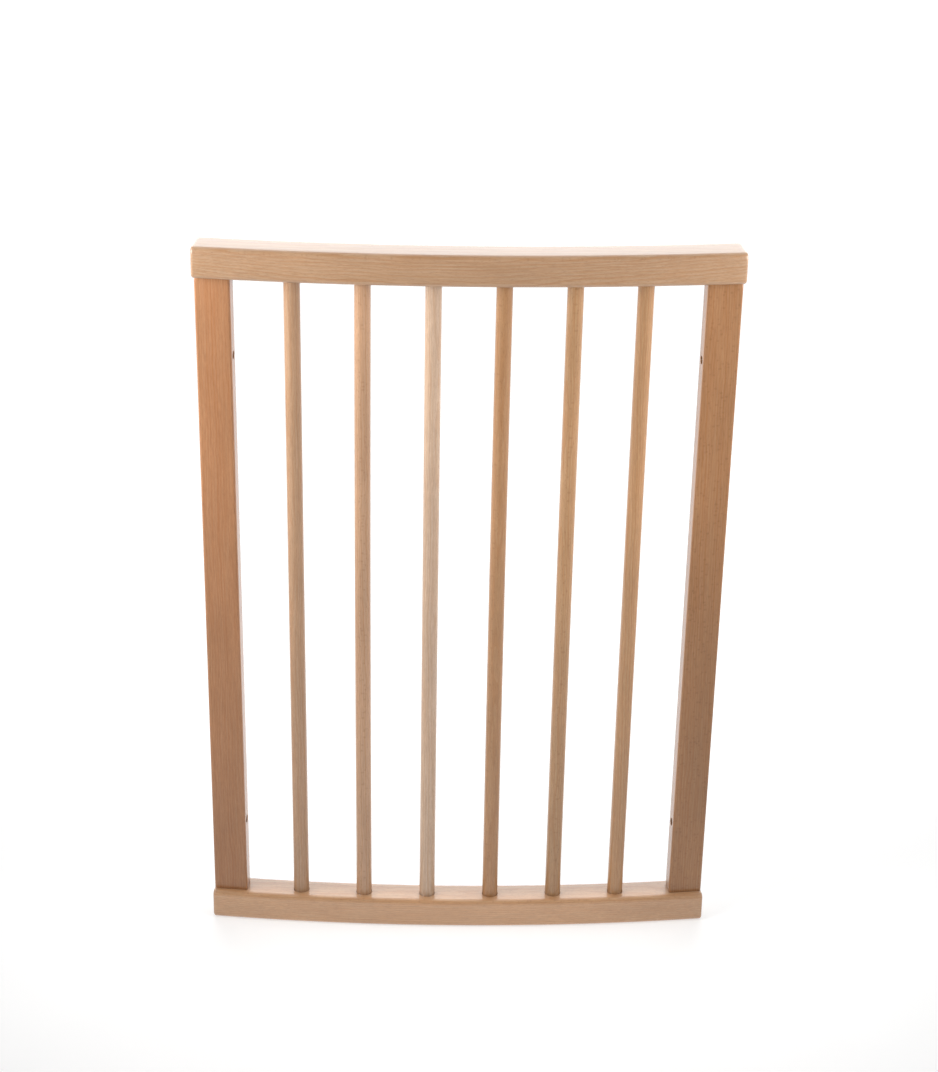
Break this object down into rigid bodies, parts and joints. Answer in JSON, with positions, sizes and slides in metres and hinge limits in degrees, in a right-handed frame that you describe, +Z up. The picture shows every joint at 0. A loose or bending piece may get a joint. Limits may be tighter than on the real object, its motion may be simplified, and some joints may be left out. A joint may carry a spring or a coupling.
{
  "type": "playpen side panel",
  "caption": "Curved slatted wooden side panel of a playpen, with bowed top and bottom rails, flat drilled end posts and round upright spindles.",
  "frame": {"origin": "on the floor, under the centre of the panel's bounding box", "axes": "+Z up, +X along the panel to the right, -Y the convex outer side of the panel"},
  "size_m": [0.5884, 0.057, 0.836],
  "materials": {
    "rail_beech": "clear satin lacquer on straight-grained beech",
    "post_beech": "clear satin lacquer on beech, upright grain",
    "spindle_beech": "clear satin lacquer on turned beech",
    "dowel_beech": "bare beech, glued"
  },
  "bodies": {
    "root": {"top_rail": "rail_beech", "bottom_rail": "rail_beech", "left_post": "post_beech", "right_post": "post_beech", "spindle_1": "spindle_beech", "spindle_2": "spindle_beech", "spindle_3": "spindle_beech", "spindle_4": "spindle_beech", "spindle_5": "spindle_beech", "spindle_6": "spindle_beech", "left_top_outer_dowel": "dowel_beech", "left_top_inner_dowel": "dowel_beech", "left_bottom_outer_dowel": "dowel_beech", "left_bottom_inner_dowel": "dowel_beech", "right_top_outer_dowel": "dowel_beech", "right_top_inner_dowel": "dowel_beech", "right_bottom_outer_dowel": "dowel_beech", "right_bottom_inner_dowel": "dowel_beech"}
  },
  "joints": []
}
